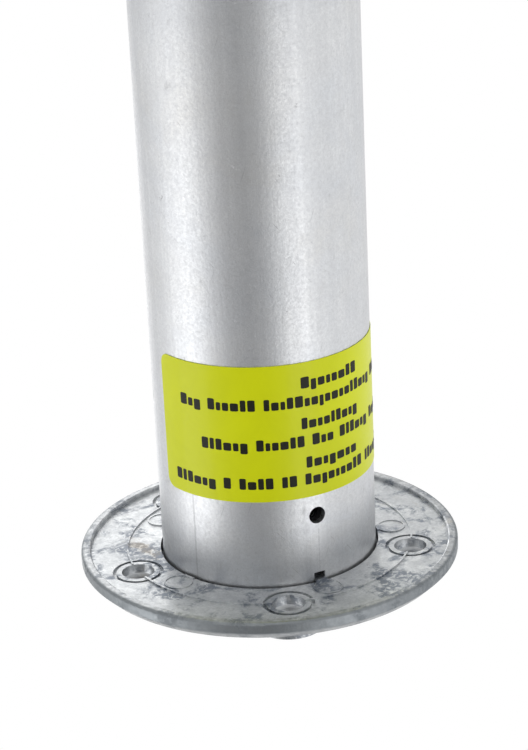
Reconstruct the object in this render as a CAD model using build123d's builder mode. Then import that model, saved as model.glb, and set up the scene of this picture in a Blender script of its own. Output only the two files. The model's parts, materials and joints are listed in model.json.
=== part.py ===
from build123d import *
from math import cos, radians, sin
import os

# Retractable bollard, in millimetres, as it stands in the ground.
# +Z is up and the origin is the centre of the ground ring's seat, at ground level.
# The casing hangs below the ring, and the post rises out of it.

# Casing and post
casing_od = 60.0
casing_wall = 2.0
casing_depth = 620.0
post_gap = 3.0
post_wall = 2.0
press_clearance = 0.05
slide_clearance = 0.1
cut_over = 1.0

# Ground ring, a die casting that stands on its outer lip
bolt_offset = 10.0
rim_offset = 13.0
bolt_count = 5
bolt_hole_d = 9.0
bolt_angle = -96.3
countersink_d = 15.4
countersink_angle = 90.0
lip_height = 1.2
lip_width = 2.7
rim_height = 3.0
rim_chamfer = 2.4
socket_depth = 5.0
socket_clearance = 0.7
seat_height = 1.5
ring_height = 9.0
crown_inset = 2.0
crown_bulge_r = 5.0
crown_drop = 1.4
boss_d = 19.0
boss_height = 7.0
moat_inner_d = 12.0
moat_outer_d = 14.0
moat_depth = 0.8
rib_width = 0.5
rib_height = 0.4
mark_offset = 5.0
mark_d = 8.0
mark_height = 0.3
mark_rim = 0.45
mark_dish = 0.2
mark_neck = 3.6
lip_outer_round = 0.8
lip_inner_round = 0.45
edge_round = 0.3

# Tongues of the ground ring in slots of the casing
slot_count = 2
slot_angle = -116.0
slot_width = 3.2
slot_depth = 1.3
tongue_width = 3.0
tongue_start = 0.3
tongue_root = 0.5

# Transport pin hole and label
pin_hole_d = 4.8
pin_hole_depth = 18.1
label_angle = -127.5
label_span = 197.0
label_top = -24.0
label_height = 38.3
label_thickness = 0.15
label_corner = 3.0

# Bush, seals and buffers
bush_length = 60.0
bush_top = 1.0
bush_gap = 0.6
wiper_gap = 0.45
wiper_lip = 1.4
upper_buffer_height = 6.0
lower_buffer_height = 24.0
lower_buffer_wall = 8.5
stop_gap = 0.5

# Foot of the casing
plug_height = 20.0
drain_hole_d = 7.0
drain_count = 3
drain_pcd_inset = 8.0
drain_angle = -30.0
foot_screw_inset = 10.0
foot_screw_angle = -90.0

# Guide rail that keeps the post from turning
rail_angle = 30.0
rail_width = 6.0
rail_thickness = 1.95
rivet_d = 3.0
rivet_head_d = 7.0
rivet_head_height = 1.2
rivet_count = 4

# Head of the post
head_overhang = 5.5
head_seat_clearance = 0.4
head_flange = 4.0
head_rim = 3.0
head_rim_width = 2.9
head_round = 1.6
head_plate_bottom = 0.0
spigot_depth = 14.0
spigot_wall = 3.5

# Foot of the post
guide_gap = 0.2
guide_height = 24.0
guide_cover_height = 6.0
guide_spigot_height = 15.5
guide_screw_height = 7.5
guide_bolt_d = 4.0
guide_bolt_angle = 23.2
guide_bolt_gap = 0.2185
notch_width = 6.8
notch_depth = 2.3

# Countersunk machine screws
screw_d = 5.0
screw_head_d = 8.8
screw_head_height = 1.9
screw_length = 5.4
screw_drive = 2.6
screw_count = 3

# Gas spring
gas_wall_gap = 1.5
gas_tube_d = 18.0
gas_tube_wall = 1.2
gas_rod_d = 8.0
gas_gland_height = 9.0
gas_piston_height = 8.0
gas_end_gap = 2.0
gas_head_gap = 30.0
gas_plug_height = 4.0
gas_stud_depth = 4.0
gas_nut_flats = 13.0
gas_nut_height = 5.0
spacer_height = 6.0
clevis_pin_d = 6.0
clevis_pin_height = 12.0
eye_d = 13.0
eye_width = 6.0
ear_width = 4.0
ear_round_inset = 0.5
eye_neck_drop = 1.5
foot_pin_overhang = 1.0

# Lock
lock_axis_inset = 11.0
spindle_head_d = 17.0
spindle_head_height = 8.5
spindle_d = 11.0
spindle_length = 18.0
rod_socket_depth = 8.0
key_corner_r = 6.8
key_depth = 7.5
circlip_thickness = 1.4
circlip_d = 14.0
circlip_groove = 0.8
lock_rod_d = 6.0
lock_turn = 90.0
drive_square = 4.0

# Cam and latch
cam_d = 22.0
cam_thickness = 4.0
cam_start = 4.0
latch_travel = 4.0
latch_pin_d = 4.0
latch_width = 12.0
latch_thickness = 5.7
latch_tail = 1.0
latch_tip_inset = 1.5
latch_tip_round = 1.5
latch_gap = 0.3
window_margin = 2.0

# Swivelling lock cover
cover_d = 19.0
cover_thickness = 1.5
cover_lift = 0.2
cover_reach = 16.0
cover_pivot_depth = 5.5
cover_dimple_d = 6.0
cover_pivot_d = 4.0
cover_pivot_head_d = 8.0
cover_pivot_head_height = 1.0

# Reflective bands
band_height = 50.0
band_thickness = 0.25
band_tops = (-40.0, -140.0)

# Worked out from the values above
casing_r = casing_od / 2
casing_bore_r = casing_r - casing_wall
post_r = casing_bore_r - post_gap
post_bore_r = post_r - post_wall
bolt_circle_r = casing_r + bolt_offset
ring_r = bolt_circle_r + rim_offset
mark_circle_r = casing_r + mark_offset
head_r = post_r + head_overhang
seat_z = socket_depth + seat_height
casing_bottom = -casing_depth
plug_top = casing_bottom + plug_height
lower_buffer_top = plug_top + lower_buffer_height
guide_bottom = lower_buffer_top + stop_gap
guide_split = guide_bottom + guide_height
guide_top = guide_split + guide_cover_height
bush_bottom = bush_top - bush_length
upper_buffer_bottom = bush_bottom - upper_buffer_height
post_travel = upper_buffer_bottom - stop_gap - guide_top
guide_r = casing_bore_r - guide_gap
bush_r = post_r + bush_gap
gas_y = gas_tube_d / 2 + spigot_wall + gas_wall_gap - post_bore_r
lock_y = post_bore_r - lock_axis_inset
clevis_z = plug_top + clevis_pin_height
head_top = seat_z + head_flange

os.makedirs("parts", exist_ok=True)


def ray(angle, z=0.0, radius=0.0):
    # A plane on the vertical axis whose own Z points outwards at this angle
    a = radians(angle)
    start = (radius * cos(a), radius * sin(a), z)
    return Plane(origin=start, x_dir=(-sin(a), cos(a), 0), z_dir=(cos(a), sin(a), 0))


def polar(radius, angle):
    return (radius * cos(radians(angle)), radius * sin(radians(angle)))


def angles(count, start):
    return [start + 360.0 / count * i for i in range(count)]


# The two guide bolts lie just inside the spigot, one each side of the gas spring
guide_bolt_circle_r = post_bore_r - press_clearance - spigot_wall - guide_bolt_d - guide_bolt_gap
guide_bolt_places = [
    polar(guide_bolt_circle_r, -180 + guide_bolt_angle),
    polar(guide_bolt_circle_r, -guide_bolt_angle),
]

# Ground ring
with BuildPart() as ground_ring:
    with BuildSketch(Plane.XZ):
        with BuildLine():
            crown_start = (ring_r - rim_chamfer, rim_height + rim_chamfer)
            crown_end = (bolt_circle_r - crown_inset, ring_height)
            crown_mid = (bolt_circle_r + crown_bulge_r, ring_height - crown_drop)
            Polyline(
                crown_end,
                (head_r + head_seat_clearance, ring_height),
                (head_r + head_seat_clearance, seat_z),
                (bush_r + slide_clearance, seat_z),
                (bush_r + slide_clearance, socket_depth),
                (casing_r + socket_clearance, socket_depth),
                (casing_r + socket_clearance, lip_height),
                (ring_r - lip_width, lip_height),
                (ring_r - lip_width, 0),
                (ring_r, 0),
                (ring_r, rim_height),
                crown_start,
            )
            ThreePointArc(crown_start, crown_mid, crown_end)
        make_face()
    revolve(axis=Axis.Z)
    lip_edges = edges().group_by(Axis.Z)[0].sort_by(SortBy.RADIUS)
    fillet(lip_edges[-1], radius=lip_outer_round)
    fillet(edges().group_by(Axis.Z)[0].sort_by(SortBy.RADIUS)[0], radius=lip_inner_round)
    with BuildSketch(Plane.XY.offset(lip_height)):
        with PolarLocations(bolt_circle_r, bolt_count, start_angle=bolt_angle):
            Circle(boss_d / 2)
        Circle(max(head_r + head_seat_clearance, casing_r + socket_clearance), mode=Mode.SUBTRACT)
    extrude(amount=boss_height - lip_height)
    # Round moulding marks on the hidden face, each with a neck to the casing
    with BuildSketch(Plane.XY.offset(lip_height)):
        with PolarLocations(mark_circle_r, bolt_count, start_angle=slot_angle):
            Circle(mark_d / 2)
        for angle in angles(bolt_count, slot_angle):
            with Locations(Location((*polar(casing_r + mark_offset / 2, angle), 0), (0, 0, angle))):
                Rectangle(mark_offset, mark_neck)
        Circle(casing_r + socket_clearance, mode=Mode.SUBTRACT)
    extrude(amount=-mark_height)
    with BuildSketch(Plane.XY.offset(lip_height - mark_height)):
        with PolarLocations(mark_circle_r, bolt_count, start_angle=slot_angle):
            Circle(mark_d / 2 - mark_rim)
    extrude(amount=mark_dish, mode=Mode.SUBTRACT)
    # Sealing groove and fine rib
    with BuildSketch(Plane.XY.offset(lip_height - mark_height)):
        with PolarLocations(bolt_circle_r, bolt_count, start_angle=bolt_angle):
            Circle(moat_outer_d / 2)
            Circle(moat_inner_d / 2, mode=Mode.SUBTRACT)
    extrude(amount=moat_depth + mark_height, mode=Mode.SUBTRACT)
    with BuildSketch(Plane.XY.offset(lip_height - rib_height)):
        Circle(bolt_circle_r + rib_width / 2)
        Circle(bolt_circle_r - rib_width / 2, mode=Mode.SUBTRACT)
    extrude(amount=rib_height + moat_depth)
    # Bolt holes, countersunk from above
    with Locations(Plane.XY.offset(boss_height)):
        with PolarLocations(bolt_circle_r, bolt_count, start_angle=bolt_angle):
            CounterSinkHole(
                bolt_hole_d / 2,
                countersink_d / 2,
                depth=2 * ring_height,
                counter_sink_angle=countersink_angle,
            )
    # Tongues that key the casing
    with BuildSketch(Plane.XY.offset(tongue_start)):
        Circle(casing_r + socket_clearance + tongue_root)
        Circle(casing_bore_r + slide_clearance, mode=Mode.SUBTRACT)
        with BuildSketch(mode=Mode.INTERSECT):
            for angle in angles(slot_count, slot_angle):
                with Locations(Location((*polar(casing_r, angle), 0), (0, 0, angle))):
                    Rectangle(4 * casing_wall, tongue_width)
    extrude(amount=socket_depth - tongue_start)

ground_ring.part.label = "ground_ring"
export_step(ground_ring.part, "parts/ground_ring.step")

# Countersunk screw set radially, with its head flush with a round surface
below = (Align.CENTER, Align.CENTER, Align.MAX)
above = (Align.CENTER, Align.CENTER, Align.MIN)


def radial_screws(turns, z, surface_r):
    face_r = (surface_r**2 - (screw_head_d / 2) ** 2) ** 0.5
    for angle in turns:
        with Locations(ray(angle, z, face_r)):
            Cylinder(screw_d / 2, screw_length, align=below)
            Cone(screw_d / 2, screw_head_d / 2, screw_head_height, align=below)
        with BuildSketch(ray(angle, z, face_r)) as drive:
            RegularPolygon(screw_drive / 2, 6)
        extrude(drive.sketch, amount=-screw_head_height, mode=Mode.SUBTRACT)


def radial_screw_holes(turns, z, surface_r):
    face_r = (surface_r**2 - (screw_head_d / 2) ** 2) ** 0.5
    shank_r = screw_d / 2 + press_clearance
    mouth_r = screw_head_d / 2 + press_clearance
    for angle in turns:
        with Locations(ray(angle, z, face_r)):
            Cylinder(shank_r, screw_length + cut_over, align=below, mode=Mode.SUBTRACT)
            Cone(shank_r, mouth_r, screw_head_height, align=below, mode=Mode.SUBTRACT)
            Cylinder(mouth_r, screw_head_height, align=above, mode=Mode.SUBTRACT)


# Label, a thin sheet wrapped on the casing
with BuildPart() as label:
    a = radians(label_angle - label_span / 2)
    with BuildSketch(Plane(origin=(0, 0, 0), x_dir=(cos(a), sin(a), 0), z_dir=(sin(a), -cos(a), 0))):
        with Locations((casing_r + press_clearance, label_top)):
            Rectangle(label_thickness, label_height, align=(Align.MIN, Align.MAX))
    revolve(axis=Axis.Z, revolution_arc=label_span)
    fillet(edges().sort_by(SortBy.LENGTH)[:4], radius=label_corner)

label.part.label = "label"
export_step(label.part, "parts/label.step")

# Upper bush, pressed into the casing
with BuildPart() as upper_bush:
    with BuildSketch(Plane.XY.offset(bush_bottom)):
        Circle(casing_bore_r - press_clearance)
        Circle(post_r + bush_gap, mode=Mode.SUBTRACT)
    extrude(amount=bush_length)
    with BuildSketch(ray(slot_angle, z=-pin_hole_depth)):
        Circle(pin_hole_d / 2)
    extrude(amount=casing_r, mode=Mode.SUBTRACT)

upper_bush.part.label = "upper_bush"
export_step(upper_bush.part, "parts/upper_bush.step")

# Wiper seal between the bush and the ring's seat
with BuildPart() as wiper_seal:
    with BuildSketch(Plane.XZ):
        with BuildLine():
            Polyline(
                (casing_bore_r - press_clearance, bush_top),
                (casing_bore_r - press_clearance, socket_depth),
                (post_r + wiper_gap, socket_depth),
                (post_r + wiper_gap, socket_depth - wiper_lip / 2),
                (post_r + wiper_lip, socket_depth - wiper_lip),
                (post_r + wiper_lip, bush_top),
                close=True,
            )
        make_face()
    revolve(axis=Axis.Z)

wiper_seal.part.label = "wiper_seal"
export_step(wiper_seal.part, "parts/wiper_seal.step")

# Rubber stops above and below the post's foot
with BuildPart() as upper_buffer:
    with BuildSketch(Plane.XY.offset(upper_buffer_bottom)):
        Circle(casing_bore_r - slide_clearance)
        Circle(post_r + bush_gap, mode=Mode.SUBTRACT)
    extrude(amount=upper_buffer_height)

upper_buffer.part.label = "upper_buffer"
export_step(upper_buffer.part, "parts/upper_buffer.step")

with BuildPart() as lower_buffer:
    with BuildSketch(Plane.XY.offset(plug_top)):
        Circle(casing_bore_r - stop_gap)
        Circle(casing_bore_r - stop_gap - lower_buffer_wall, mode=Mode.SUBTRACT)
    extrude(amount=lower_buffer_height)

lower_buffer.part.label = "lower_buffer"
export_step(lower_buffer.part, "parts/lower_buffer.step")

# Guide rail and its rivets
rail_bottom = guide_bottom
rail_top = upper_buffer_bottom - stop_gap
rivet_step = (rail_top - rail_bottom) / rivet_count
rivet_heights = [rail_bottom + rivet_step * (i + 0.5) for i in range(rivet_count)]
rail_outer_r = casing_bore_r - press_clearance
rail_inner_r = rail_outer_r - rail_thickness

with BuildPart() as guide_rail:
    with BuildSketch(Plane.XY.offset(rail_bottom)):
        Circle(rail_outer_r)
        Circle(rail_inner_r, mode=Mode.SUBTRACT)
        with Locations(Location((*polar(casing_bore_r, rail_angle), 0), (0, 0, rail_angle))):
            Rectangle(4 * rail_thickness, rail_width, mode=Mode.INTERSECT)
    extrude(amount=rail_top - rail_bottom)
    for z in rivet_heights:
        with Locations(ray(rail_angle, z)):
            Cylinder(rivet_d / 2 + press_clearance, casing_r, align=above, mode=Mode.SUBTRACT)

guide_rail.part.label = "guide_rail"
export_step(guide_rail.part, "parts/guide_rail.step")

with BuildPart() as rail_rivets:
    for z in rivet_heights:
        with Locations(ray(rail_angle, z, rail_inner_r + slide_clearance)):
            Cylinder(rivet_d / 2, casing_r - rail_inner_r, align=above)
        with Locations(ray(rail_angle, z, casing_r)):
            Cone(rivet_head_d / 2, rivet_head_d / 3, rivet_head_height, align=above)

rail_rivets.part.label = "rail_rivets"
export_step(rail_rivets.part, "parts/rail_rivets.step")

# Foot of the casing
gas_rod_r = gas_rod_d / 2
foot_turns = angles(screw_count, foot_screw_angle)

with BuildPart() as foot_plug:
    with BuildSketch(Plane.XY.offset(casing_bottom)):
        Circle(casing_bore_r - press_clearance)
        with PolarLocations(casing_bore_r - drain_pcd_inset, drain_count, start_angle=drain_angle):
            Circle(drain_hole_d / 2, mode=Mode.SUBTRACT)
    extrude(amount=plug_height)
    with BuildSketch(Plane.XY.offset(plug_top)):
        for side in (-1, 1):
            with Locations((side * (eye_width + ear_width + 2 * slide_clearance) / 2, gas_y)):
                Rectangle(ear_width, eye_d)
    extrude(amount=clevis_pin_height + eye_d / 2)
    fillet(edges().filter_by(Axis.X).group_by(Axis.Z)[-1], radius=eye_d / 2 - ear_round_inset)
    with Locations(Plane(origin=(0, gas_y, clevis_z), z_dir=(1, 0, 0))):
        Cylinder(clevis_pin_d / 2 + press_clearance, 2 * casing_r, mode=Mode.SUBTRACT)
    radial_screw_holes(foot_turns, casing_bottom + foot_screw_inset, casing_r)

foot_plug.part.label = "foot_plug"
export_step(foot_plug.part, "parts/foot_plug.step")

with BuildPart() as foot_screws:
    radial_screws(foot_turns, casing_bottom + foot_screw_inset, casing_r)

foot_screws.part.label = "foot_screws"
export_step(foot_screws.part, "parts/foot_screws.step")

with BuildPart() as foot_pin:
    with Locations(Plane(origin=(0, gas_y, clevis_z), z_dir=(1, 0, 0))):
        Cylinder(clevis_pin_d / 2, eye_width + 2 * ear_width + 2 * foot_pin_overhang)
    chamfer(edges(), length=edge_round)

foot_pin.part.label = "foot_pin"
export_step(foot_pin.part, "parts/foot_pin.step")

# Gas spring, its rod fixed at the casing's foot and its tube in the post
gas_tube_r = gas_tube_d / 2
gas_bore_r = gas_tube_r - gas_tube_wall
gas_tube_top = head_plate_bottom - gas_head_gap
piston_top = gas_tube_top - gas_plug_height - gas_end_gap
piston_bottom = piston_top - gas_piston_height
gland_top = piston_bottom - post_travel - gas_end_gap / 2
gas_tube_bottom = gland_top - gas_gland_height
eye_neck_top = guide_bottom - eye_neck_drop

with BuildPart() as gas_rod:
    with BuildSketch(Plane.XY.offset(eye_neck_top)):
        with Locations((0, gas_y)):
            Circle(gas_rod_r)
    extrude(amount=piston_top - eye_neck_top)

gas_rod.part.label = "gas_rod"
export_step(gas_rod.part, "parts/gas_rod.step")

with BuildPart() as gas_rod_eye:
    with Locations(Plane(origin=(0, gas_y, clevis_z), z_dir=(1, 0, 0))):
        Cylinder(eye_d / 2, eye_width)
    with Locations((0, gas_y, clevis_z)):
        Cylinder(eye_width / 2 - edge_round, eye_neck_top - clevis_z, align=above)
    with Locations(Plane(origin=(0, gas_y, clevis_z), z_dir=(1, 0, 0))):
        Cylinder(clevis_pin_d / 2 + press_clearance, 2 * eye_width, mode=Mode.SUBTRACT)

gas_rod_eye.part.label = "gas_rod_eye"
export_step(gas_rod_eye.part, "parts/gas_rod_eye.step")

with BuildPart() as gas_piston:
    with BuildSketch(Plane.XY.offset(piston_bottom)):
        with Locations((0, gas_y)):
            Circle(gas_bore_r - slide_clearance)
            Circle(gas_rod_r + press_clearance, mode=Mode.SUBTRACT)
    extrude(amount=gas_piston_height)

gas_piston.part.label = "gas_piston"
export_step(gas_piston.part, "parts/gas_piston.step")

with BuildPart() as gas_tube:
    with BuildSketch(Plane.XY.offset(gas_tube_bottom)):
        with Locations((0, gas_y)):
            Circle(gas_tube_r)
            Circle(gas_bore_r, mode=Mode.SUBTRACT)
    extrude(amount=gas_tube_top - gas_tube_bottom)

gas_tube.part.label = "gas_tube"
export_step(gas_tube.part, "parts/gas_tube.step")

with BuildPart() as gas_gland:
    with BuildSketch(Plane.XY.offset(gas_tube_bottom)):
        with Locations((0, gas_y)):
            Circle(gas_bore_r - press_clearance)
            Circle(gas_rod_r + press_clearance, mode=Mode.SUBTRACT)
    extrude(amount=gas_gland_height)

gas_gland.part.label = "gas_gland"
export_step(gas_gland.part, "parts/gas_gland.step")

with BuildPart() as gas_top_plug:
    with Locations((0, gas_y, gas_tube_top)):
        Cylinder(gas_bore_r - press_clearance, gas_plug_height, align=below)
        Cylinder(gas_rod_r, gas_head_gap + head_plate_bottom + gas_stud_depth, align=above)

gas_top_plug.part.label = "gas_top_plug"
export_step(gas_top_plug.part, "parts/gas_top_plug.step")

with BuildPart() as gas_nut:
    with BuildSketch(Plane.XY.offset(head_plate_bottom)):
        with Locations((0, gas_y)):
            RegularPolygon(gas_nut_flats / 2, 6, major_radius=False)
            Circle(gas_rod_r + press_clearance, mode=Mode.SUBTRACT)
    extrude(amount=-gas_nut_height)

gas_nut.part.label = "gas_nut"
export_step(gas_nut.part, "parts/gas_nut.step")

# Post tube
head_turns = angles(screw_count, rail_angle)
head_screw_z = seat_z - spigot_depth / 2 - seat_z / 2
guide_screw_z = guide_top + guide_screw_height

with BuildPart() as post_tube:
    with BuildSketch(Plane.XY.offset(guide_top)):
        Circle(post_r)
        Circle(post_bore_r, mode=Mode.SUBTRACT)
    extrude(amount=seat_z - guide_top)
    radial_screw_holes(head_turns, head_screw_z, post_r)
    radial_screw_holes(head_turns, guide_screw_z, post_r)
    with BuildSketch(ray(slot_angle, z=-pin_hole_depth)):
        Circle(pin_hole_d / 2)
    extrude(amount=casing_r, mode=Mode.SUBTRACT)

post_tube.part.label = "post_tube"
export_step(post_tube.part, "parts/post_tube.step")

with BuildPart() as head_screws:
    radial_screws(head_turns, head_screw_z, post_r)

head_screws.part.label = "head_screws"
export_step(head_screws.part, "parts/head_screws.step")

with BuildPart() as guide_screws:
    radial_screws(head_turns, guide_screw_z, post_r)

guide_screws.part.label = "guide_screws"
export_step(guide_screws.part, "parts/guide_screws.step")

with BuildPart() as reflective_bands:
    for top in band_tops:
        with BuildSketch(Plane.XY.offset(top)):
            Circle(post_r + press_clearance + band_thickness)
            Circle(post_r + press_clearance, mode=Mode.SUBTRACT)
        extrude(amount=-band_height)

reflective_bands.part.label = "reflective_bands"
export_step(reflective_bands.part, "parts/reflective_bands.step")

with BuildPart() as rod_spacer:
    with BuildSketch(Plane.XY.offset((gas_tube_bottom + gas_tube_top) / 2)):
        Circle(post_bore_r - slide_clearance)
        with Locations((0, gas_y)):
            Circle(gas_tube_r + slide_clearance, mode=Mode.SUBTRACT)
        with Locations((0, lock_y)):
            Circle(lock_rod_d / 2 + slide_clearance, mode=Mode.SUBTRACT)
    extrude(amount=spacer_height)

rod_spacer.part.label = "rod_spacer"
export_step(rod_spacer.part, "parts/rod_spacer.step")

# Head of the post, dished so that the lock cover lies below its rim
rim_top = head_top + head_rim
dish_r = head_r - head_rim_width
spindle_bottom = head_top - spindle_head_height - spindle_length
rod_top = spindle_bottom + rod_socket_depth

with BuildPart() as head_cap:
    with BuildSketch(Plane.XZ):
        with BuildLine():
            Polyline(
                (head_r - head_round, rim_top),
                (dish_r + head_rim / 3, rim_top),
                (dish_r, head_top),
                (0, head_top),
                (0, head_plate_bottom),
                (post_bore_r - press_clearance - spigot_wall, head_plate_bottom),
                (post_bore_r - press_clearance - spigot_wall, head_plate_bottom - spigot_depth),
                (post_bore_r - press_clearance, head_plate_bottom - spigot_depth),
                (post_bore_r - press_clearance, seat_z),
                (head_r, seat_z),
                (head_r, rim_top - head_round),
            )
            RadiusArc((head_r, rim_top - head_round), (head_r - head_round, rim_top), -head_round)
        make_face()
    revolve(axis=Axis.Z)
    with Locations((0, lock_y, head_top)):
        pocket_depth = spindle_head_height + slide_clearance
        Cylinder(spindle_head_d / 2 + slide_clearance, pocket_depth, align=below, mode=Mode.SUBTRACT)
        Cylinder(spindle_d / 2 + slide_clearance, 2 * head_top, align=below, mode=Mode.SUBTRACT)
    with Locations((0, gas_y, head_plate_bottom)):
        Cylinder(gas_rod_r + press_clearance, gas_stud_depth, align=above, mode=Mode.SUBTRACT)
    with Locations((0, lock_y - cover_reach, head_top)):
        Cylinder(cover_pivot_d / 2 + press_clearance, cover_pivot_depth, align=below, mode=Mode.SUBTRACT)
    radial_screw_holes(head_turns, head_screw_z, post_r)

head_cap.part.label = "head_cap"
export_step(head_cap.part, "parts/head_cap.step")

# Lock spindle with a triangular key socket, and the rod below it
with BuildPart() as lock_spindle:
    with Locations((0, lock_y, head_top)):
        Cylinder(spindle_head_d / 2, spindle_head_height, align=below)
    with Locations((0, lock_y, head_top - spindle_head_height)):
        Cylinder(spindle_d / 2, spindle_length, align=below)
    with BuildSketch(Plane.XY.offset(head_top)):
        with Locations((0, lock_y)):
            RegularPolygon(key_corner_r, 3, rotation=90)
    extrude(amount=-key_depth, mode=Mode.SUBTRACT)
    with BuildSketch(Plane.XY.offset(head_plate_bottom)):
        with Locations((0, lock_y)):
            Circle(spindle_d)
            Circle(spindle_d / 2 - circlip_groove, mode=Mode.SUBTRACT)
    extrude(amount=-circlip_thickness - slide_clearance, mode=Mode.SUBTRACT)
    with Locations((0, lock_y, spindle_bottom)):
        Cylinder(lock_rod_d / 2 + press_clearance, rod_socket_depth, align=above, mode=Mode.SUBTRACT)

lock_spindle.part.label = "lock_spindle"
export_step(lock_spindle.part, "parts/lock_spindle.step")

with BuildPart() as spindle_circlip:
    with BuildSketch(Plane.XY.offset(head_plate_bottom - slide_clearance)):
        with Locations((0, lock_y)):
            Circle(circlip_d / 2)
            Circle(spindle_d / 2 - circlip_groove + press_clearance, mode=Mode.SUBTRACT)
        with Locations((0, lock_y - circlip_d / 2)):
            Rectangle(circlip_d / 3, circlip_d / 2, mode=Mode.SUBTRACT)
    extrude(amount=-circlip_thickness)

spindle_circlip.part.label = "spindle_circlip"
export_step(spindle_circlip.part, "parts/spindle_circlip.step")

# Cam with a spiral slot, which drives the latch out and draws it back
cam_top = guide_split - slide_clearance
cam_bottom = cam_top - cam_thickness
latch_top = cam_bottom - latch_gap
latch_bottom = latch_top - latch_thickness
latch_z = (latch_top + latch_bottom) / 2
slot_steps = 8


def cam_point(turn):
    return polar(cam_start + latch_travel * turn / lock_turn, 90 - turn)


with BuildPart() as lock_cam:
    with BuildSketch(Plane(origin=(0, lock_y, cam_bottom))):
        Circle(cam_d / 2)
        Rectangle(drive_square + slide_clearance, drive_square + slide_clearance, mode=Mode.SUBTRACT)
        with BuildLine():
            Spline(*[cam_point(lock_turn * i / slot_steps) for i in range(slot_steps + 1)])
        trace(line_width=latch_pin_d + 2 * latch_gap, mode=Mode.SUBTRACT)
        with Locations(cam_point(0), cam_point(lock_turn)):
            Circle(latch_pin_d / 2 + latch_gap, mode=Mode.SUBTRACT)
    extrude(amount=cam_thickness)

lock_cam.part.label = "lock_cam"
export_step(lock_cam.part, "parts/lock_cam.step")

with BuildPart() as lock_rod:
    with Locations((0, lock_y, cam_top)):
        Cylinder(lock_rod_d / 2, rod_top - cam_top, align=above)
        Box(drive_square, drive_square, cam_thickness, align=below)

lock_rod.part.label = "lock_rod"
export_step(lock_rod.part, "parts/lock_rod.step")

# Latch bolt and the pin that follows the cam's slot
latch_tip = guide_r - latch_tip_inset
latch_heel = lock_y - latch_tail

with BuildPart() as latch_bolt:
    with BuildSketch(Plane.XY.offset(latch_bottom)):
        with Locations((0, latch_heel)):
            Rectangle(latch_width, latch_tip - latch_heel, align=(Align.CENTER, Align.MIN))
        fillet(vertices().group_by(Axis.Y)[-1], radius=latch_tip_round)
    extrude(amount=latch_thickness)
    with Locations((0, lock_y + cam_start, latch_top)):
        Cylinder(latch_pin_d / 2 + press_clearance, latch_thickness, align=below, mode=Mode.SUBTRACT)

latch_bolt.part.label = "latch_bolt"
export_step(latch_bolt.part, "parts/latch_bolt.step")

with BuildPart() as latch_pin:
    with Locations((0, lock_y + cam_start, latch_bottom)):
        Cylinder(latch_pin_d / 2, cam_top - latch_gap - latch_bottom, align=above)

latch_pin.part.label = "latch_pin"
export_step(latch_pin.part, "parts/latch_pin.step")

# Foot of the post: a guide block with the latch in it, and its cover
with BuildPart() as lower_guide:
    with BuildSketch(Plane.XY.offset(guide_bottom)):
        Circle(guide_r)
        with Locations((0, gas_y)):
            Circle(gas_rod_r + latch_gap, mode=Mode.SUBTRACT)
        with Locations(Location((*polar(guide_r, rail_angle), 0), (0, 0, rail_angle))):
            Rectangle(2 * notch_depth, notch_width, mode=Mode.SUBTRACT)
        with Locations(*guide_bolt_places):
            Circle(guide_bolt_d / 2 + press_clearance, mode=Mode.SUBTRACT)
    extrude(amount=guide_height)
    with Locations((0, lock_y, guide_split)):
        Cylinder(cam_d / 2 + latch_gap, cam_thickness + 2 * slide_clearance, align=below, mode=Mode.SUBTRACT)
    with BuildSketch(Plane.XY.offset(guide_split)):
        with Locations((0, latch_heel - latch_gap)):
            Rectangle(latch_width + 2 * latch_gap, 2 * guide_r, align=(Align.CENTER, Align.MIN))
    extrude(amount=latch_bottom - slide_clearance - guide_split, mode=Mode.SUBTRACT)

lower_guide.part.label = "lower_guide"
export_step(lower_guide.part, "parts/lower_guide.step")

with BuildPart() as guide_cover:
    with BuildSketch(Plane.XY.offset(guide_split)):
        Circle(guide_r)
        with Locations(Location((*polar(guide_r, rail_angle), 0), (0, 0, rail_angle))):
            Rectangle(2 * notch_depth, notch_width, mode=Mode.SUBTRACT)
    extrude(amount=guide_cover_height)
    with BuildSketch(Plane.XY.offset(guide_top)):
        Circle(post_bore_r - press_clearance)
        Circle(post_bore_r - press_clearance - spigot_wall, mode=Mode.SUBTRACT)
    extrude(amount=guide_spigot_height)
    with BuildSketch(Plane.XY.offset(guide_split)):
        with Locations((0, gas_y)):
            Circle(gas_rod_r + latch_gap)
        with Locations((0, lock_y)):
            Circle(lock_rod_d / 2 + slide_clearance)
        with Locations(*guide_bolt_places):
            Circle(guide_bolt_d / 2 + press_clearance)
    extrude(amount=guide_cover_height, mode=Mode.SUBTRACT)
    radial_screw_holes(head_turns, guide_screw_z, post_r)

guide_cover.part.label = "guide_cover"
export_step(guide_cover.part, "parts/guide_cover.step")

with BuildPart() as guide_bolts:
    with Locations(Plane.XY.offset(guide_top)):
        with Locations(*guide_bolt_places):
            Cylinder(guide_bolt_d / 2, guide_cover_height + guide_height / 2, align=below)
            Cylinder(guide_bolt_d, guide_bolt_d, align=above)
    with BuildSketch(Plane.XY.offset(guide_top + guide_bolt_d)):
        with Locations(*guide_bolt_places):
            RegularPolygon(guide_bolt_d / 2, 6)
    extrude(amount=-guide_bolt_d / 2, mode=Mode.SUBTRACT)

guide_bolts.part.label = "guide_bolts"
export_step(guide_bolts.part, "parts/guide_bolts.step")

# Lock cover, which swivels about its own screw
pivot_y = lock_y - cover_reach
cover_bottom = head_top + cover_lift
cover_top = cover_bottom + cover_thickness
pivot_top = cover_top + slide_clearance + cover_pivot_head_height

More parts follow.
